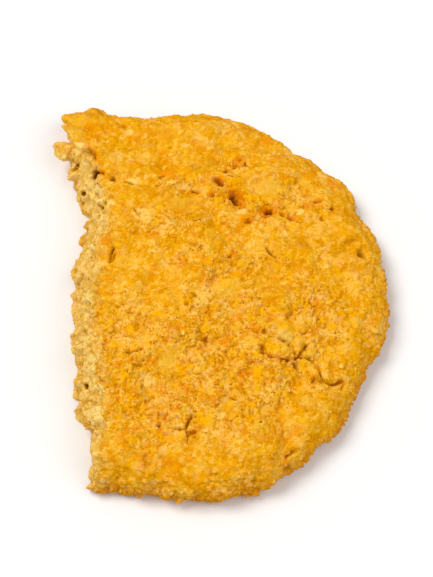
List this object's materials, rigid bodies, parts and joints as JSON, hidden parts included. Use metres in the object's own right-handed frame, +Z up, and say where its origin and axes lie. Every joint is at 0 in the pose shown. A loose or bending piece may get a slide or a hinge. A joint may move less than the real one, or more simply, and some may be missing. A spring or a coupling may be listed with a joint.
{
  "type": "oatmeal lemon cookie",
  "caption": "Broken piece of a flat round golden oatmeal cookie with a crumbly crust, a rounded rim and one rough, paler broken side.",
  "frame": {"origin": "middle of the cookie's box in plan, on the surface that it lies on", "axes": "+Z up through the crust; +Y towards the far end of the round outline; the break faces -X and the round rim faces +X"},
  "size_m": [0.0638, 0.0822, 0.0123],
  "materials": {
    "baked_oats": "matte, rough and crumbly, golden yellow crust with paler crumb where it is broken"
  },
  "bodies": {
    "root": {"cookie": "baked_oats"}
  },
  "joints": []
}
